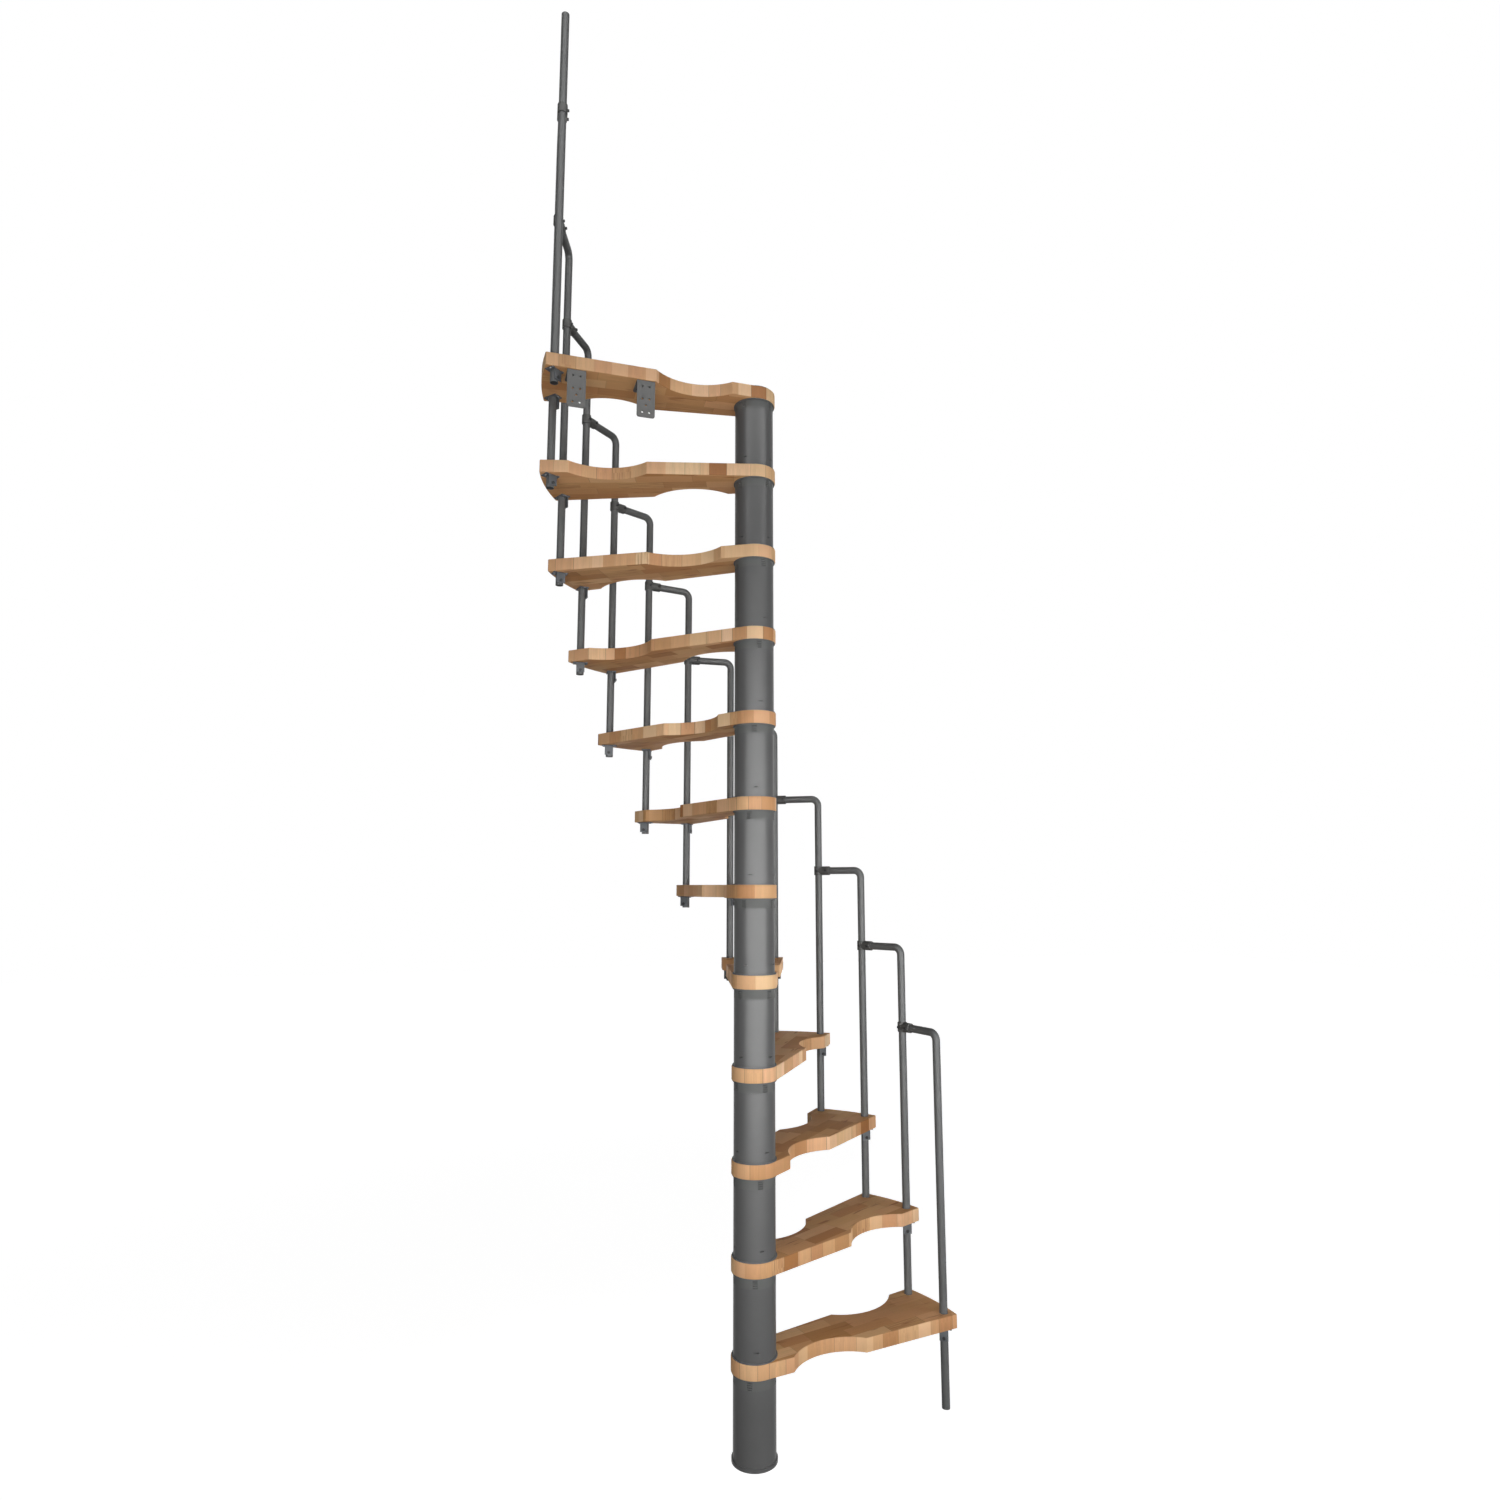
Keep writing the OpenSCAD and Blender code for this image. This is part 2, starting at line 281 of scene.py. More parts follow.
def beechMaterial():
    look = beechLook
    material, tree = newMaterial("edgeGluedBeechLacquered")
    board = addNode(tree, "ShaderNodeUVMap", uv_map="boardPlace").outputs["UV"]
    side = addNode(tree, "ShaderNodeAttribute", attribute_name="sideFace").outputs["Fac"]
    seed = addNode(tree, "ShaderNodeObjectInfo").outputs["Object Index"]
    split = addNode(tree, "ShaderNodeSeparateXYZ", {"Vector": board})
    across = addNode(tree, "ShaderNodeMath", {0: split.outputs["Y"], 1: 1 / look["staveW"]},
                     operation="MULTIPLY")
    across = addNode(tree, "ShaderNodeMath", {0: seed, 1: look["rowsApart"], 2: across.outputs[0]},
                     operation="MULTIPLY_ADD").outputs[0]
    row = addNode(tree, "ShaderNodeMath", {0: across}, operation="FLOOR").outputs[0]
    rowShift = addNode(tree, "ShaderNodeTexWhiteNoise", {"W": row}, noise_dimensions="1D").outputs["Value"]
    rowShift = addNode(tree, "ShaderNodeMath", {0: rowShift, 1: look["rowShift"]},
                       operation="MULTIPLY").outputs[0]
    length = addNode(tree, "ShaderNodeMath", {0: split.outputs["X"], 1: 1 / look["staveL"], 2: rowShift},
                     operation="MULTIPLY_ADD").outputs[0]
    bandShift = addNode(tree, "ShaderNodeMath", {0: seed, 1: look["bandsApart"]},
                        operation="MULTIPLY").outputs[0]
    band = addNode(tree, "ShaderNodeMath", {0: split.outputs["X"], 1: 1 / look["bandW"], 2: bandShift},
                   operation="MULTIPLY_ADD").outputs[0]
    place = addNode(tree, "ShaderNodeMix", {0: side, 2: length, 3: band}).outputs[0]
    spread = {"W": place, "Scale": 1.0, "Randomness": 1.0}
    cell = addNode(tree, "ShaderNodeTexVoronoi", spread, voronoi_dimensions="1D").outputs["Color"]
    cell = addNode(tree, "ShaderNodeSeparateColor", {"Color": cell})
    edge = addNode(tree, "ShaderNodeTexVoronoi", spread, voronoi_dimensions="1D", feature="DISTANCE_TO_EDGE")
    tones = []
    for stops in (look["faceTones"], look["sideTones"]):
        ramp = addNode(tree, "ShaderNodeValToRGB", {"Fac": cell.outputs["Red"]})
        for at, code in stops[1:-1]:
            ramp.color_ramp.elements.new(at)
        for element, (at, code) in zip(ramp.color_ramp.elements, stops):
            element.position, element.color = at, srgb(code)
        tones.append(ramp.outputs["Color"])
    body = addNode(tree, "ShaderNodeMix", {0: side, 6: tones[0], 7: tones[1]}, data_type="RGBA").outputs[2]

    # each stave leans a little to pink or to straw
    lean = addNode(tree, "ShaderNodeMix", {
        0: cell.outputs["Green"], 6: look["pinkLean"], 7: look["strawLean"]}, data_type="RGBA").outputs[2]
    body = addNode(tree, "ShaderNodeMix", {0: 1.0, 6: body, 7: lean}, data_type="RGBA",
                   blend_type="MULTIPLY").outputs[2]

    # long grain on the faces, upright grain on the sides, stronger in some staves than in others
    stretch = addNode(tree, "ShaderNodeMix", {
        0: side, 4: (1 / look["grainL"], 1 / look["grainW"], 1.0),
        5: (1 / look["sideGrainW"], 1 / look["sideGrainL"], 1.0)}, data_type="VECTOR").outputs[1]
    grainPlace = addNode(tree, "ShaderNodeVectorMath", {0: board, 1: stretch},
                         operation="MULTIPLY").outputs[0]
    shift = addNode(tree, "ShaderNodeCombineXYZ", {"X": bandShift, "Z": row}).outputs[0]
    grainPlace = addNode(tree, "ShaderNodeVectorMath", {0: grainPlace, 1: shift},
                         operation="ADD").outputs[0]
    grain = addNode(tree, "ShaderNodeTexNoise", {"Vector": grainPlace, "Scale": 1.0, "Detail": 4.0,
                                                 "Roughness": 0.6}).outputs["Fac"]
    depth = addNode(tree, "ShaderNodeMapRange", {
        "Value": cell.outputs["Blue"], "To Min": look["grainDepth"][0],
        "To Max": look["grainDepth"][1]}).outputs[0]
    wave = addNode(tree, "ShaderNodeMath", {0: grain, 1: 0.5}, operation="SUBTRACT").outputs[0]
    streak = addNode(tree, "ShaderNodeMath", {0: wave, 1: depth, 2: 1.0},
                     operation="MULTIPLY_ADD").outputs[0]
    finer = (look["fleckShorter"], look["fleckNarrower"], 1.0)
    fleckPlace = addNode(tree, "ShaderNodeVectorMath", {0: grainPlace, 1: finer},
                         operation="MULTIPLY").outputs[0]
    fleck = addNode(tree, "ShaderNodeTexNoise", {
        "Vector": fleckPlace, "Scale": 1.0, "Detail": 0.0}).outputs["Fac"]
    fleck = addNode(tree, "ShaderNodeMapRange", {
        "Value": fleck, "From Min": look["fleckFrom"][0], "From Max": look["fleckFrom"][1],
        "To Min": 1.0, "To Max": look["fleckTone"]}).outputs[0]

    # a few staves carry reddish heartwood streaks
    rare = addNode(tree, "ShaderNodeMapRange", {
        "Value": cell.outputs["Green"], "From Min": look["heartStaves"][0],
        "From Max": look["heartStaves"][1], "To Max": look["heartDepth"]}).outputs[0]
    vein = addNode(tree, "ShaderNodeMapRange", {
        "Value": grain, "From Min": look["heartVeins"][0], "From Max": look["heartVeins"][1]}).outputs[0]
    heart = addNode(tree, "ShaderNodeMath", {0: rare, 1: vein}, operation="MULTIPLY").outputs[0]
    patchPlace = addNode(tree, "ShaderNodeVectorMath", {
        0: board, 1: (1 / look["patchL"], 1 / look["patchW"], 1.0)}, operation="MULTIPLY").outputs[0]
    patchPlace = addNode(tree, "ShaderNodeVectorMath", {0: patchPlace, 1: shift},
                         operation="ADD").outputs[0]
    patch = addNode(tree, "ShaderNodeTexNoise", {
        "Vector": patchPlace, "Scale": 1.0, "Detail": 2.0}).outputs["Fac"]
    patch = addNode(tree, "ShaderNodeMapRange", {
        "Value": patch, "From Min": look["patchFrom"][0], "From Max": look["patchFrom"][1],
        "To Max": look["patchDepth"]}).outputs[0]
    patch = addNode(tree, "ShaderNodeMix", {0: side, 2: patch, 3: 0.0}).outputs[0]
    heart = addNode(tree, "ShaderNodeMath", {0: heart, 1: patch}, operation="MAXIMUM").outputs[0]
    body = addNode(tree, "ShaderNodeMix", {0: heart, 6: body, 7: srgb(look["heart"])},
                   data_type="RGBA").outputs[2]

    # glue lines between rows and joints between staves, dark at only some of them
    rowGap = addNode(tree, "ShaderNodeMath", {0: across, 1: 0.5}, operation="PINGPONG").outputs[0]
    rowGap = addNode(tree, "ShaderNodeMath", {0: rowGap, 1: look["staveW"]}, operation="MULTIPLY").outputs[0]
    wide = addNode(tree, "ShaderNodeMix", {0: side, 2: look["staveL"], 3: look["bandW"]}).outputs[0]
    gap = addNode(tree, "ShaderNodeMath", {0: edge.outputs["Distance"], 1: wide},
                  operation="MULTIPLY").outputs[0]
    darkest = addNode(tree, "ShaderNodeMix", {0: side, 2: look["faceJoint"], 3: look["sideJoint"]}).outputs[0]
    joint = addNode(tree, "ShaderNodeMapRange", {
        "Value": cell.outputs["Blue"], "From Min": look["darkJoints"][0],
        "From Max": look["darkJoints"][1], "To Min": look["paleJoint"], "To Max": darkest}).outputs[0]
    line = addNode(tree, "ShaderNodeMapRange", {
        "Value": gap, "From Min": look["jointCore"], "From Max": look["jointW"], "To Min": joint}).outputs[0]
    rowGap = addNode(tree, "ShaderNodeMath", {0: rowGap, 1: side}, operation="ADD").outputs[0]
    rowLine = addNode(tree, "ShaderNodeMapRange", {
        "Value": rowGap, "From Min": look["rowCore"], "From Max": look["rowW"],
        "To Min": look["rowTone"]}).outputs[0]

    # narrow darker and lighter strips side by side on the sides
    strip = addNode(tree, "ShaderNodeTexVoronoi", {
        "W": band, "Scale": look["bandW"] / look["stripW"], "Randomness": 1.0},
        voronoi_dimensions="1D").outputs["Color"]
    strip = addNode(tree, "ShaderNodeSeparateColor", {"Color": strip}).outputs["Red"]
    strip = addNode(tree, "ShaderNodeMath", {0: strip, 1: look["stripMiddle"]},
                    operation="SUBTRACT").outputs[0]
    strip = addNode(tree, "ShaderNodeMath", {0: strip, 1: depth}, operation="MULTIPLY").outputs[0]
    strip = addNode(tree, "ShaderNodeMath", {0: strip, 1: side}, operation="MULTIPLY").outputs[0]
    strip = addNode(tree, "ShaderNodeMath", {0: strip, 1: look["stripDepth"], 2: 1.0},
                    operation="MULTIPLY_ADD").outputs[0]

    shade = line
    for part in (rowLine, streak, fleck, strip):
        shade = addNode(tree, "ShaderNodeMath", {0: shade, 1: part}, operation="MULTIPLY").outputs[0]
    colour = addNode(tree, "ShaderNodeVectorMath", {0: body, 3: shade}, operation="SCALE").outputs[0]
    bump = addNode(tree, "ShaderNodeBump", {
        "Height": shade, "Strength": look["bump"], "Distance": look["relief"]})
    gloss = addNode(tree, "ShaderNodeMapRange", {
        "Value": grain, "To Min": look["roughness"][0], "To Max": look["roughness"][1]}).outputs[0]
    shader = addNode(tree, "ShaderNodeBsdfPrincipled", {
        "Base Color": colour, "Roughness": gloss, "Normal": bump.outputs["Normal"],
        "IOR": look["ior"], "Specular IOR Level": look["sheen"]})
    addNode(tree, "ShaderNodeOutputMaterial", {"Surface": shader.outputs["BSDF"]})
    return material


# what every painted, plated or moulded finish shares: a faint cloud over its tone, and a fine pebble
finishLook = {
    "cloudW": 90 * mm, "toneSpread": 0.07, "dullSpread": 0.05,
    "pebbleW": 1.1 * mm, "pebbleDeep": 0.04 * mm,
}


# pebble is how strongly the fine orange peel shows
# sheen is how strongly a finish other than bare metal mirrors its surroundings, and 0.5 is usual; it is far
# lower here, as the white all round would veil dark coats seen edge-on, and two glowing panels make up for it
def finishMaterial(name, code, roughness, pebble, metallic=0.0, sheen=0.035):
    look = finishLook
    material, tree = newMaterial(name)
    place = addNode(tree, "ShaderNodeTexCoord").outputs["Object"]
    cloud = addNode(tree, "ShaderNodeTexNoise", {
        "Vector": place, "Scale": 1 / look["cloudW"], "Detail": 3.0}).outputs["Fac"]
    grain = addNode(tree, "ShaderNodeTexNoise", {
        "Vector": place, "Scale": 1 / look["pebbleW"], "Detail": 1.0}).outputs["Fac"]
    darker, lighter = [tuple(c * share for c in srgb(code)[:3]) + (1.0,)
                       for share in (1 - look["toneSpread"], 1 + look["toneSpread"])]
    tone = addNode(tree, "ShaderNodeMix", {0: cloud, 6: darker, 7: lighter}, data_type="RGBA").outputs[2]
    dull = addNode(tree, "ShaderNodeMapRange", {
        "Value": cloud, "To Min": roughness - look["dullSpread"],
        "To Max": roughness + look["dullSpread"]}).outputs[0]
    bump = addNode(tree, "ShaderNodeBump", {
        "Height": grain, "Strength": pebble, "Distance": look["pebbleDeep"]})
    shader = addNode(tree, "ShaderNodeBsdfPrincipled", {
        "Base Color": tone, "Roughness": dull, "Normal": bump.outputs["Normal"], "Metallic": metallic,
        "Specular IOR Level": 0.5 if metallic else sheen})
    addNode(tree, "ShaderNodeOutputMaterial", {"Surface": shader.outputs["BSDF"]})
    return material


finishes = {
    # baked powder coats on steel: dark satin greys, soft along the tubes, duller where they are cast or bent
    "columnPowderCoat": {"code": "#5e5e5e", "roughness": 0.3, "pebble": 0.3},
    "collarPowderCoat": {"code": "#616261", "roughness": 0.6, "pebble": 0.5, "sheen": 0.018},
    "lipPowderCoat": {"code": "#5e6062", "roughness": 0.48, "pebble": 0.3},
    "tubePowderCoat": {"code": "#5d5e5e", "roughness": 0.45, "pebble": 0.3},
    "clampCastPowderCoat": {"code": "#4e4e4d", "roughness": 0.5, "pebble": 0.6},
    "bracketPowderCoat": {"code": "#585b5e", "roughness": 0.5, "pebble": 0.3},
    "landingPlatePowderCoat": {"code": "#5c5c5b", "roughness": 0.5, "pebble": 0.3},
    # moulded polyethylene plugs: dull black ends that close the tubes
    "mouldedBlackPlastic": {"code": "#2b2b2b", "roughness": 0.55, "pebble": 0.5},
    # black oxide on bolt steel: small dark heads that hardly shine
    "blackOxideBoltSteel": {"code": "#333334", "roughness": 0.45, "pebble": 0.4},
    # the two bare metals are darker than real ones, as the glowing panels shine on them at full strength
    # zinc-plated steel rod: dull grey metal, all but out of sight inside the column
    "zincPlatedSteel": {"code": "#6c6d6f", "roughness": 0.42, "pebble": 0.4, "metallic": 1.0},
    # oil-blackened screws, worn a little bright: dark metal with a small glint
    "blackenedScrewSteel": {"code": "#363637", "roughness": 0.5, "pebble": 0.4, "metallic": 1.0},
}
beech = beechMaterial()
finish = {name: finishMaterial(name, **values) for name, values in finishes.items()}
print("stage: materials made")

# the finish and the slot of each CAD node, by the start of its name
cadLooks = {
    "base_disc": (finish["columnPowderCoat"], "column_coat"),
    "column_tube": (finish["columnPowderCoat"], "column_coat"),
    "top_cap": (finish["columnPowderCoat"], "column_coat"),
    "collars": (finish["collarPowderCoat"], "column_coat"),
    "foot_rings": (finish["lipPowderCoat"], "lip_coat"),
    "baluster": (finish["tubePowderCoat"], "rail_coat"),
    "top_post": (finish["tubePowderCoat"], "rail_coat"),
    "tube_plugs": (finish["mouldedBlackPlastic"], "plug_plastic"),
    "centre_rod": (finish["zincPlatedSteel"], "rod_steel"),
    "rail_clamps": (finish["clampCastPowderCoat"], "clamp_coat"),
    "tread_brackets": (finish["bracketPowderCoat"], "bracket_coat"),
    "landing_plate": (finish["landingPlatePowderCoat"], "landing_coat"),
    "tread_": (beech, "tread_beech"),
}
for name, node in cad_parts.items():
    longest = max((key for key in cadLooks if name.startswith(key)), key=len)
    material, slot = cadLooks[longest]
    node.data.materials.clear()
    node.data.materials.append(material)
print("stage: CAD nodes painted")

treadShape = {
    "reach": 592 * mm, "ringR": 59 * mm,  # the outer end's and the hub's radius from the stair's axis
    "sideOff": 58.6 * mm, "flare": math.radians(4),  # each side's distance from the axis, and how it opens
    "scallopL": 214 * mm, "scallopD": 44 * mm, "innerX": 183 * mm, "outerX": 400 * mm,
    "rodR": 10.5 * mm, "tubeR": 11.1 * mm,  # holes for the centre rod and the balusters
    "edge": 1.6 * mm, "cornerR": 4 * mm, "scallopCuts": 26, "endCuts": 24, "ringCuts": 44,
}


# the rear side of a tread, from the hub out, with one round scallop bitten into it
def treadSide(scallopX):
    s = treadShape
    along = Vector((math.cos(s["flare"]), math.sin(s["flare"])))
    outward = Vector((-math.sin(s["flare"]), math.cos(s["flare"])))
    start = math.sqrt(s["ringR"] ** 2 - s["sideOff"] ** 2)
    end = math.sqrt(s["reach"] ** 2 - s["sideOff"] ** 2)
    middle = (scallopX + s["sideOff"] * math.sin(s["flare"])) / math.cos(s["flare"])
    radius = ((s["scallopL"] / 2) ** 2 + s["scallopD"] ** 2) / (2 * s["scallopD"])
    centre = radius - s["scallopD"]
    half = math.asin(s["scallopL"] / 2 / radius)
    path = [(start, 0.0)]
    for i in range(s["scallopCuts"] + 1):
        angle = -half + 2 * half * i / s["scallopCuts"]
        path.append((middle + radius * math.sin(angle), centre - radius * math.cos(angle)))
    path.append((end, 0.0))
    return [along * t + outward * (s["sideOff"] + out) for t, out in path]


# the points between an arc's two ends
def arc(radius, start, end, cuts):
    angles = [start + (end - start) * i / cuts for i in range(1, cuts)]
    return [Vector((math.cos(a), math.sin(a))) * radius for a in angles]


# odd treads have the inner scallop in front and the outer one behind, even treads the other way round
def treadOutline(odd):
    s = treadShape
    front = [Vector((p.x, -p.y)) for p in treadSide(s["innerX"] if odd else s["outerX"])]
    rear = treadSide(s["outerX"] if odd else s["innerX"])
    tip = math.atan2(rear[-1].y, rear[-1].x)
    root = math.atan2(rear[0].y, rear[0].x)
    endArc = arc(s["reach"], -tip, tip, s["endCuts"])
    ringArc = arc(s["ringR"], root, 2 * math.pi - root, s["ringCuts"])
    return rounded(front + endArc + rear[::-1] + ringArc, s["cornerR"])


treadHoles = [circleLoop(treadShape["rodR"])]
for way in (-1, 1):
    turn = way * stair["turn"] / 2
    spot = (stair["tubeCircle"] * math.cos(turn), stair["tubeCircle"] * math.sin(turn))
    treadHoles.append(circleLoop(treadShape["tubeR"], spot))
for k in range(1, stair["treads"] + 1):
    shape = slab(treadOutline(k % 2 == 1), treadHoles, -stair["treadT"], 0.0, treadShape["edge"])
    place = Matrix.Translation((0, 0, treadTop(k))) @ Matrix.Rotation(treadAngle(k), 4, "Z")
    piece = addSlab(f"beechTread{k:02d}", shape, beech, place)
    piece.pass_index = k  # gives each tread its own staves
    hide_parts(f"tread_{k:02d}")
print("stage: treads built")

clampShape = {
    "r": 14 * mm, "bore": 11.05 * mm, "edge": 1.4 * mm,  # the ring round the baluster and the rail's sleeve
    "reach": 38 * mm, "straightFrom": 24 * mm, "boreFrom": 12.2 * mm,  # of the sleeve, from the ring's axis
    # the step between the two, row by row: how far inside the sleeve's face, and how far off the ring's
    "neck": ((0.8 * mm, 0.0), (0.5 * mm, 0.3 * mm), (0.0, 0.6 * mm)),
    "neckSunk": 0.1 * mm,  # the inner rows start this deep in the ring
    "screwR": 3.8 * mm, "screwFrom": 12 * mm, "screwTo": 18.4 * mm, "socketR": 1.9 * mm,
    "socketDeep": 2.6 * mm, "screwsApart": 30.5 * mm,
}


def revolved(profile, count=40):
    return loft([ring(radius, z, count) for radius, z in profile], closed=True)


# quarter-round from the outer face to the end face of a turned part
def softCorner(out, side, edge, way=1, steps=4):
    path = [(out - edge + edge * math.cos(a), side + way * (edge * math.sin(a) - edge))
            for a in [j * math.pi / 2 / steps for j in range(steps + 1)]]
    return path if way > 0 else path[::-1]


def clampRing():
    s = clampShape
    return revolved([(s["bore"], -s["r"])] + softCorner(s["r"], -s["r"], s["edge"], -1)
                    + softCorner(s["r"], s["r"], s["edge"]) + [(s["bore"], s["r"])])


# the sleeve starts on the ring's round face, with a fine step where the two castings meet
def clampSleeve(count=48):
    s = clampShape
    loops = []
    for inside, off in s["neck"]:
        radius = s["r"] - inside
        face = s["r"] - s["neckSunk"] if inside else s["r"]
        loop = []
        for i in range(count):
            angle = 2 * math.pi * i / count
            y, z = radius * math.cos(angle), radius * math.sin(angle)
            loop.append(Vector((math.sqrt(max(0.0, face ** 2 - y * y)) + off, y, z)))
        loops.append(loop)
    path = [(s["r"], s["straightFrom"])] + softCorner(s["r"], s["reach"], s["edge"])
    path += [(s["bore"], s["reach"]), (s["bore"], s["boreFrom"])]
    # ring() turned so that it runs along the sleeve
    turned = [[Vector((p.z, p.x, p.y)) for p in ring(radius, x, count)] for radius, x in path]
    return loft(loops + turned, closed=True)


# a round screw with a soft shoulder and a hexagonal socket in its end
def socketScrew(radius, low, high, socketR, deep, dome=0.6 * mm, count=24):
    shoulder = ((0.0, 1.0), (0.5, 0.15), (1.0, 0.0))  # in from the side and down from the end, in domes
    loops = [ring(radius, low, count)]
    loops += [ring(radius - share * dome, high - drop * dome, count) for share, drop in shoulder]
    loops += [hexRing(socketR, high, count), hexRing(socketR, high - deep, count)]
    return loft(loops)


# stands a part made along z on a place, pointing in a direction
def alongAxis(place, direction, up=Vector((0, 0, 1))):
    x = up.cross(direction).normalized()
    y = direction.cross(x)
    return Matrix.Translation(place) @ Matrix((x, y, direction)).transposed().to_4x4()


s = clampShape
screw = socketScrew(s["screwR"], s["screwFrom"], s["screwTo"], s["socketR"], s["socketDeep"])
clampParts, setScrews = [], []
for k in range(1, stair["treads"] + 1):
    heading = treadAngle(k) + math.pi / 2
    spot = tubeSpot(k + 1, treadTop(k) + stair["railHeight"])
    place = Matrix.Translation(spot) @ Matrix.Rotation(heading + math.pi, 4, "Z")
    clampParts += [moved(clampRing(), place), moved(clampSleeve(), place)]
    inward = -Vector((math.cos(treadAngle(k)), math.sin(treadAngle(k)), 0))
    railWay = Vector((math.cos(heading), math.sin(heading), 0))
    for back in (0.0, s["screwsApart"]):
        setScrews.append(moved(screw, alongAxis(spot - railWay * back, inward)))
piece = addPiece("castRailClamps", joined(clampParts), finish["clampCastPowderCoat"])
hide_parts("rail_clamps")
piece = addPiece("clampSetScrews", joined(setScrews), finish["blackOxideBoltSteel"])
print("stage: rail clamps built")

bracketShape = {
    "halfL": 21 * mm, "legHalf": 12 * mm, "thick": 3 * mm, "bendIn": 0.02 * mm, "edge": 0.02 * mm,
    "outerY": 14.1 * mm, "farY": 13.1 * mm,  # from the baluster's axis to the leg's face and to the far edge
    "legH": 31 * mm, "legR": 8 * mm, "endR": 7 * mm, "bore": 11.02 * mm, "slit": 0.7 * mm,
    "screwX": 16.9 * mm, "screwY": -2.5 * mm, "screwR": 3.9 * mm, "screwH": 2.2 * mm,
    "boltZ": -24.0 * mm, "boltR": 4.4 * mm, "boltFrom": -1 * mm, "boltTo": 3.2 * mm, "boltDome": 0.9 * mm,
    "socketR": 2.0 * mm, "socketDeep": 2.2 * mm,
}


# folds a flat sheet down over the line y = 0: y below zero stays level, z is counted from the inner face
# the sheet is mirrored on the way, so its faces are turned round
def folded(shape, centre, bendIn, thick, halfFold):
    bend = math.pi / 2 * (bendIn + thick / 2)
    out = []
    for p in shape[0]:
        if p.y <= 0 or abs(p.x) > halfFold:
            out.append(Vector((p.x, centre[0] - p.y, centre[1] + bendIn + p.z)))
        elif p.y < bend:
            turn = p.y / bend * math.pi / 2
            out.append(Vector((p.x, centre[0] - (bendIn + p.z) * math.sin(turn),
                               centre[1] + (bendIn + p.z) * math.cos(turn))))
        else:
            out.append(Vector((p.x, centre[0] - bendIn - p.z, centre[1] - (p.y - bend))))
    return out, [tuple(reversed(f)) for f in shape[1]]


# points down a folded edge, close enough together to draw the bend round
def foldRows(halfW, bend, rows=5):
    return [(halfW, bend * j / rows) for j in range(rows + 1)]


# straight lines across the sheet, so that its faces bend only along the fold
def crossBars(outline, halfW):
    right = {round(p.y, 7): i for i, p in enumerate(outline) if abs(p.x - halfW) < tiny}
    left = {round(p.y, 7): i for i, p in enumerate(outline) if abs(p.x + halfW) < tiny}
    return [(right[y], left[y]) for y in right if y in left]


# a steel sheet with slits beside its leg, cut flat and then folded at the leg
def bracketMesh():
    s = bracketShape
    bend = math.pi / 2 * (s["bendIn"] + s["thick"] / 2)
    level = s["outerY"] - s["thick"] - s["bendIn"]
    near, far = s["outerY"] - level, -(s["farY"] + level)
    drop = bend + s["legH"] - s["thick"] - s["bendIn"]
    slitX = s["legHalf"] + s["slit"]
    side = [(s["halfL"], far), (s["halfL"], near), (slitX, near), (slitX, 0.0)]
    side += foldRows(s["legHalf"], bend) + [(s["legHalf"], drop)]
    points = [Vector(p) for p in side] + [Vector((-x, y)) for x, y in reversed(side)]
    outline = []
    for i, p in enumerate(points):
        radius = {near: s["endR"] * 0.5, far: s["endR"], drop: s["legR"]}.get(p.y, 0)
        if radius and (abs(p.x) == s["halfL"] or p.y == drop):
            trio = [points[i - 1], p, points[(i + 1) % len(points)]]
            outline += rounded(trio, radius, steps=5)[1:-1]
        else:
            outline.append(p)
    shape = slab(outline, [circleLoop(s["bore"], (0, -level))], 0.0, s["thick"], s["edge"], 1,
                 crossBars(outline, s["legHalf"]))
    inner = (-level, -s["thick"] - s["bendIn"])
    return folded(shape, inner, s["bendIn"], s["thick"], s["legHalf"] + s["slit"] / 2)


# shares of a domed head's radius and height
headShape = {"rimH": 0.25, "domeRows": 5, "socketR": 0.3, "socketTop": 0.98, "floorR": 0.26, "floorH": 0.4}


def domedHead(radius, height, count=24):
    s = headShape
    loops = [ring(radius, 0.0, count)]
    for j in range(s["domeRows"]):
        turn = math.pi / 2 * j / s["domeRows"]
        up = s["rimH"] + (1 - s["rimH"]) * math.sin(turn)
        loops.append(ring(radius * math.cos(turn), height * up, count))
    loops.append(hexRing(radius * s["socketR"], height * s["socketTop"], count))
    loops.append(hexRing(radius * s["floorR"], height * s["floorH"], count))
    return loft(loops)


s = bracketShape
bracketParts, woodScrews, bolts = [], [], []
bolt = socketScrew(s["boltR"], s["boltFrom"], s["boltTo"], s["socketR"], s["socketDeep"], s["boltDome"])
down, acrossUp = Vector((0, 0, -1)), Vector((0, 1, 0))
for k in range(1, stair["treads"] + 1):
    for way in (-1, 1):
        place = (Matrix.Translation((0, 0, treadTop(k) - stair["treadT"]))
                 @ Matrix.Rotation(treadAngle(k) + way * stair["turn"] / 2, 4, "Z")
                 @ Matrix.Translation((stair["tubeCircle"], 0, 0))
                 @ Matrix.Rotation(way * (math.pi / 4 - stair["turn"] / 2), 4, "Z"))
        flip = Matrix.Scale(-1, 4, (0, 1, 0)) if way > 0 else Matrix.Identity(4)
        shape = moved(bracketMesh(), place @ flip)  # a flipped bracket's faces are turned back
        bracketParts.append((shape[0], [tuple(reversed(f)) for f in shape[1]]) if way > 0 else shape)
        for x in (-s["screwX"], s["screwX"]):
            spot = place @ flip @ Vector((x, s["screwY"], -s["thick"]))
            woodScrews.append(moved(domedHead(s["screwR"], s["screwH"]), alongAxis(spot, down, acrossUp)))
        spot = place @ flip @ Vector((0, -s["outerY"], s["boltZ"]))
        out = (place @ flip).to_3x3() @ Vector((0, -1, 0))
        bolts.append(moved(bolt, alongAxis(spot, out)))
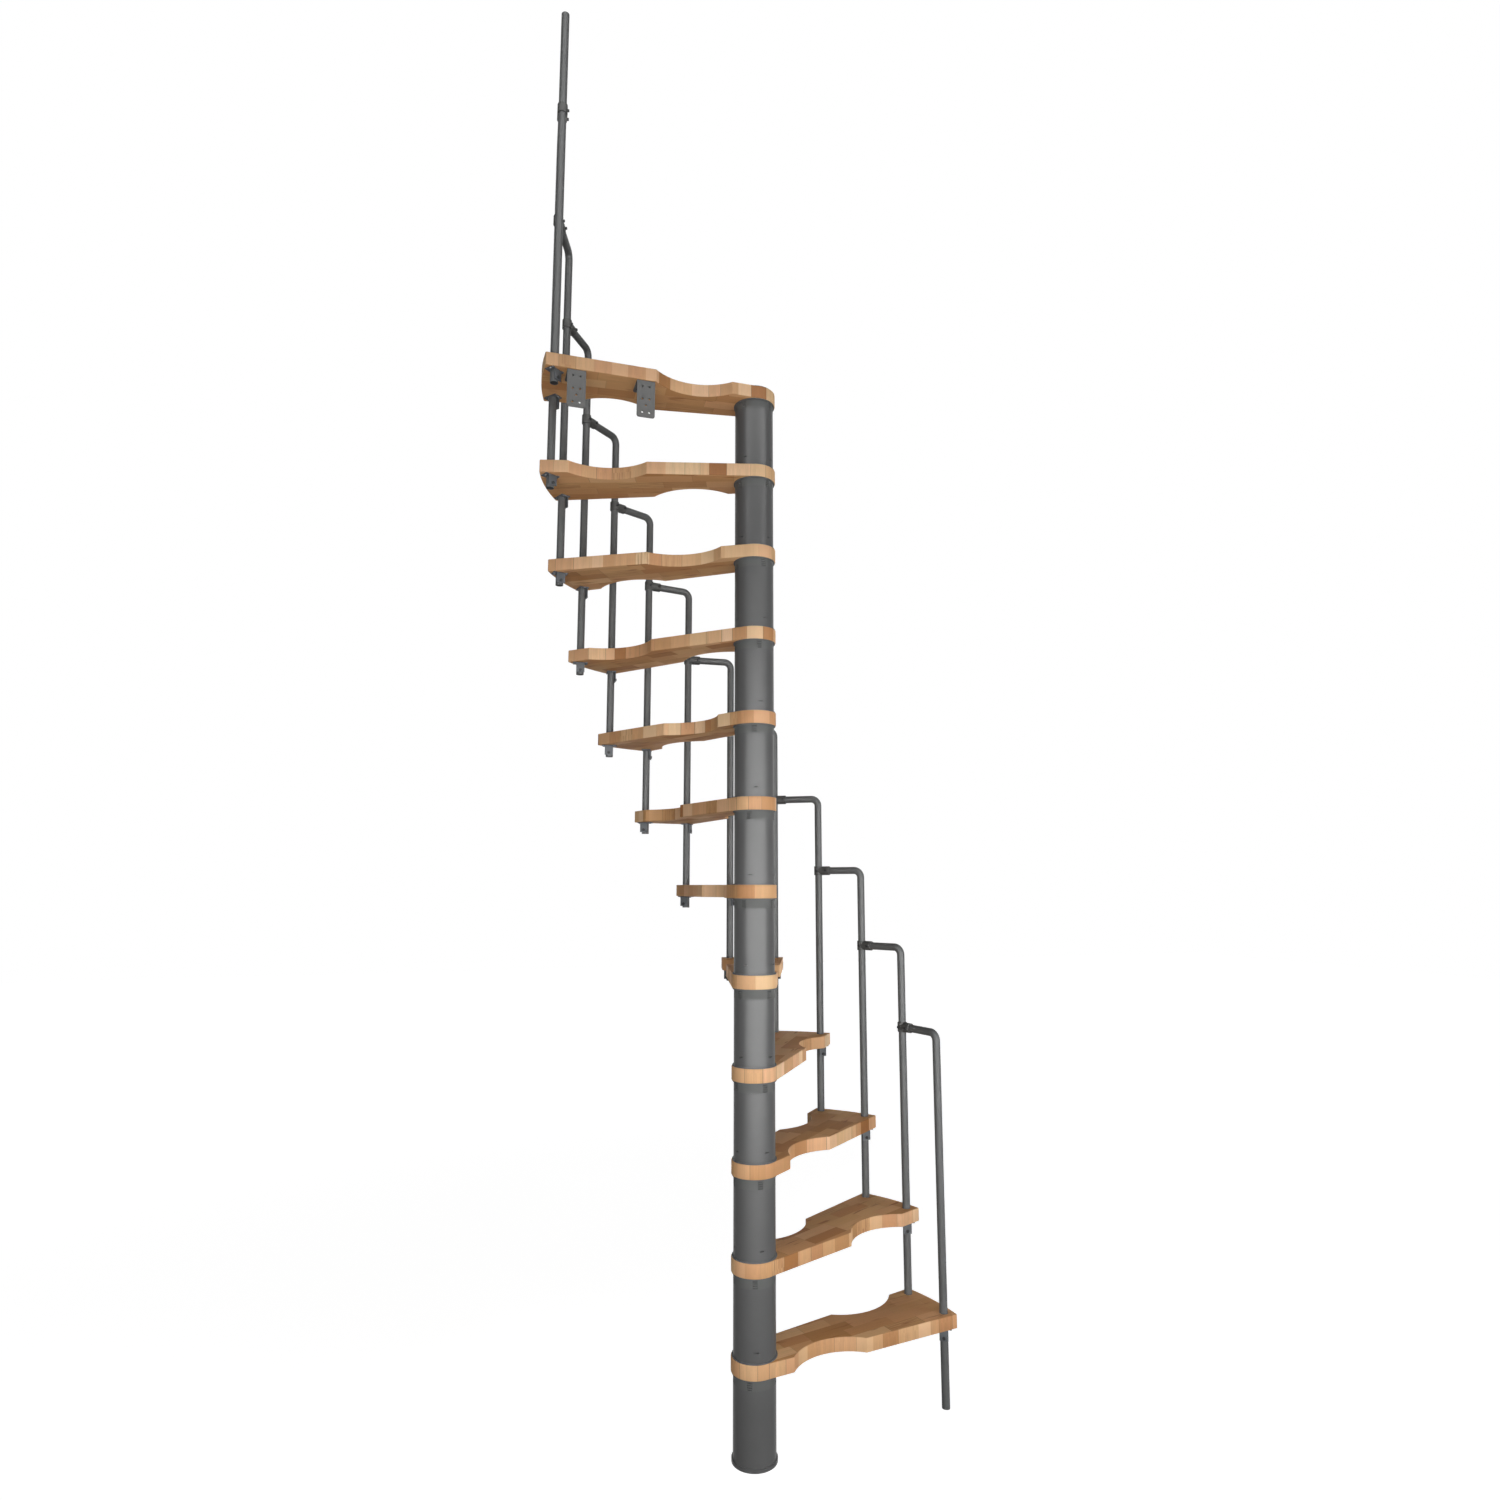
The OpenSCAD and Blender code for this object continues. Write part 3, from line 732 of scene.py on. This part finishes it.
piece = addPiece("foldedTreadBrackets", joined(bracketParts), finish["bracketPowderCoat"])
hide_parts("tread_brackets")
for name, parts, kind in (("bracketWoodScrews", woodScrews, "blackenedScrewSteel"),
                          ("bracketBolts", bolts, "blackOxideBoltSteel")):
    piece = addPiece(name, joined(parts), finish[kind])
print("stage: tread brackets built")

plateShape = {
    "width": 49 * mm, "height": 107 * mm, "leg": 68 * mm, "thick": 4 * mm, "bendIn": 2.5 * mm,
    "cornerR": 7 * mm, "edge": 0.5 * mm,
    "holeR": 2.75 * mm, "gap": 19 * mm, "pairs": (20 * mm, 55 * mm, 93 * mm), "single": 73 * mm,
    "sideY": -58.6 * mm, "innerX": 318 * mm, "outerX": 503 * mm,  # against the top tread's front side
    "screwX": 14 * mm, "screwRows": (24 * mm, 50 * mm), "screwR": 4.2 * mm, "screwH": 2.4 * mm,
}


# an angle plate: one leg lies under the tread and the other hangs down, with its holes for the wall
def landingMesh():
    s = plateShape
    half = s["width"] / 2
    bend = math.pi / 2 * (s["bendIn"] + s["thick"] / 2)
    level = s["thick"] + s["bendIn"]
    far, drop = -(s["leg"] - level), bend + s["height"] - level
    side = [(half, far)] + foldRows(half, bend) + [(half, drop)]
    corners = [Vector(p) for p in side] + [Vector((-x, y)) for x, y in reversed(side)]
    outline = rounded(corners, s["cornerR"], least=60, steps=6)
    spots = [(way * s["gap"] / 2, low) for low in s["pairs"] for way in (-1, 1)] + [(0, s["single"])]
    holes = [circleLoop(s["holeR"], (x, bend + low - level), 24) for x, low in spots]
    shape = slab(outline, holes, 0.0, s["thick"], s["edge"], 2, crossBars(outline, half))
    return folded(shape, (level, -level), s["bendIn"], s["thick"], half + s["edge"])


s = plateShape
start = s["sideY"] * math.tan(treadShape["flare"])
for name, node, x in (("landingPlateInner", "landing_plate_inner", s["innerX"]),
                      ("landingPlateOuter", "landing_plate_outer", s["outerX"])):
    place = Matrix.Translation((start - x, s["sideY"], treadTop(stair["treads"]) - stair["treadT"]))
    piece = addPiece(name, moved(landingMesh(), place), finish["landingPlatePowderCoat"])
    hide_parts(node)
    spots = [place @ Vector((x, y, -s["thick"])) for y in s["screwRows"] for x in (-s["screwX"], s["screwX"])]
    heads = [moved(domedHead(s["screwR"], s["screwH"]), alongAxis(spot, down, acrossUp)) for spot in spots]
    piece = addPiece(name + "Screws", joined(heads), finish["blackOxideBoltSteel"])
print("stage: landing plates built")

studio = {
    "floorHalf": 14.0, "floorDrop": 0.5 * mm,  # lengths without mm are in metres
    "nearR": 1.2, "farR": 4.5, "nearGlow": 0.93, "farGlow": 1.0,  # the floor fades into the white around it
    "paint": "#959595", "bounce": "#505050",  # the floor as it is seen, and as it lights the stair from below
    "ambient": 0.046,
}


# 1 where the backdrop itself is seen, straight, mirrored or through glass, and 0 where it gives light
def backdropSeen(tree):
    path = addNode(tree, "ShaderNodeLightPath").outputs
    seen = path["Is Camera Ray"]
    for ray in ("Is Glossy Ray", "Is Transmission Ray"):
        seen = addNode(tree, "ShaderNodeMath", {0: seen, 1: path[ray]}, operation="MAXIMUM").outputs[0]
    return seen


floorMesh = bpy.data.meshes.new("studioFloor")
half = studio["floorHalf"]
floorMesh.from_pydata([(-half, -half, 0), (half, -half, 0), (half, half, 0), (-half, half, 0)], [],
                      [(0, 1, 2, 3)])
floor = bpy.data.objects.new("studioFloor", floorMesh)
floor.location.z = -studio["floorDrop"]
bpy.context.scene.collection.objects.link(floor)
# matt pale floor: nearly white to the eye, yet it keeps the stair's soft shadow
material, tree = newMaterial("studioFloorPaint")
place = addNode(tree, "ShaderNodeTexCoord").outputs["Object"]
distance = addNode(tree, "ShaderNodeVectorMath", {0: place}, operation="LENGTH").outputs["Value"]
glow = addNode(tree, "ShaderNodeMapRange", {
    "Value": distance, "From Min": studio["nearR"], "From Max": studio["farR"],
    "To Min": studio["nearGlow"], "To Max": studio["farGlow"]}).outputs[0]
seen = backdropSeen(tree)
lift = addNode(tree, "ShaderNodeMath", {0: seen, 1: glow}, operation="MULTIPLY").outputs[0]
paint = addNode(tree, "ShaderNodeMix", {0: seen, 6: srgb(studio["bounce"]), 7: srgb(studio["paint"])},
                data_type="RGBA").outputs[2]
shader = addNode(tree, "ShaderNodeBsdfPrincipled", {
    "Base Color": paint, "Roughness": 0.9, "Specular IOR Level": 0.0,
    "Emission Color": (1, 1, 1, 1), "Emission Strength": lift})
addNode(tree, "ShaderNodeOutputMaterial", {"Surface": shader.outputs["BSDF"]})
floorMesh.materials.append(material)

world = bpy.data.worlds.new("studioWorld")
bpy.context.scene.world = world
world.use_nodes = True
tree = world.node_tree
tree.nodes.clear()
dim = addNode(tree, "ShaderNodeBackground", {"Color": (1, 1, 1, 1), "Strength": studio["ambient"]})
bright = addNode(tree, "ShaderNodeBackground", {"Color": (1, 1, 1, 1), "Strength": 1.0})
mixed = addNode(tree, "ShaderNodeMixShader", {0: backdropSeen(tree), 1: dim.outputs[0], 2: bright.outputs[0]})
addNode(tree, "ShaderNodeOutputWorld", {"Surface": mixed.outputs[0]})

eye = {
    "place": Vector((-0.7621, -2.4117, 1.3855)), "heading": math.radians(-17.28),
    "pitch": math.radians(8.165), "lens": 22.705, "sensor": 36,  # lens and sensor in millimetres
    "near": 0.05, "far": 100,
}
cameraData = bpy.data.cameras.new("viewCamera")
cameraData.sensor_width = eye["sensor"]
cameraData.lens = eye["lens"]
cameraData.clip_start, cameraData.clip_end = eye["near"], eye["far"]
camera = bpy.data.objects.new("viewCamera", cameraData)
camera.location = eye["place"]
camera.rotation_euler = (math.pi / 2 + eye["pitch"], 0, eye["heading"])
bpy.context.scene.collection.objects.link(camera)
bpy.context.scene.camera = camera

fullSpread = 180
# turn is a lamp's bearing round the stair, in degrees to the right of the camera; size is width and height
# a lamp with a level lights surfaces but isn't mirrored: level is how bright it makes a white face turned to
# it at full spread, and a narrower spread is brighter; a panel with a glow is only seen mirrored, that bright
lamps = {
    "keyLamp": {"turn": 5, "away": 2.53, "height": 1.27, "size": (3.2, 1.0), "level": 0.375, "spread": 120},
    "lowLamp": {"turn": 5, "away": 2.53, "height": 0.62, "size": (3.2, 0.7), "level": 0.4},
    "leftLamp": {"turn": -65, "away": 2.6, "height": 1.2, "size": (2.0, 1.6), "level": 0.06},
    "rightLamp": {"turn": 70, "away": 2.6, "height": 1.2, "size": (2.0, 1.6), "level": 0.36},
    "backLamp": {"turn": 150, "away": 2.8, "height": 1.8, "size": (1.6, 3.6), "level": 0.15, "spread": 30},
    "rearLamp": {"turn": 185, "away": 2.8, "height": 1.9, "size": (1.6, 3.6), "level": 0.07, "spread": 50},
    "upperLamp": {"turn": 5, "away": 2.5, "height": 3.5, "size": (1.5, 0.8), "level": 0.05, "spread": 60},
    "sheenPanel": {"turn": 11, "away": 2.7, "height": 1.0, "size": (9.0, 3.2), "glow": 38.5},
    "upperSheen": {"turn": 11, "away": 2.7, "height": 5.7, "size": (9.0, 3.4), "glow": 27.0},
}
for name, lamp in lamps.items():
    angle = eye["heading"] - math.pi / 2 + math.radians(lamp["turn"])
    at = Vector((math.cos(angle) * lamp["away"], math.sin(angle) * lamp["away"], lamp["height"]))
    target = Vector((0, 0, lamp["height"]))
    data = bpy.data.lights.new(name, "AREA")
    data.shape, data.size, data.size_y = "RECTANGLE", lamp["size"][0], lamp["size"][1]
    if "glow" in lamp:
        data.energy = lamp["glow"] * math.pi * data.size * data.size_y
    else:
        data.energy = lamp["level"] * math.pi ** 2 * (target - at).length_squared
    data.spread = math.radians(lamp.get("spread", fullSpread))
    lampObject = bpy.data.objects.new(name, data)
    lampObject.location = at
    lampObject.rotation_euler = (target - at).to_track_quat("-Z", "Y").to_euler()
    lampObject.visible_camera = False
    lampObject.visible_glossy = "glow" in lamp
    lampObject.visible_diffuse = "level" in lamp
    bpy.context.scene.collection.objects.link(lampObject)
bpy.context.scene.view_settings.view_transform = "Standard"
print("stage: floor, light and camera placed")
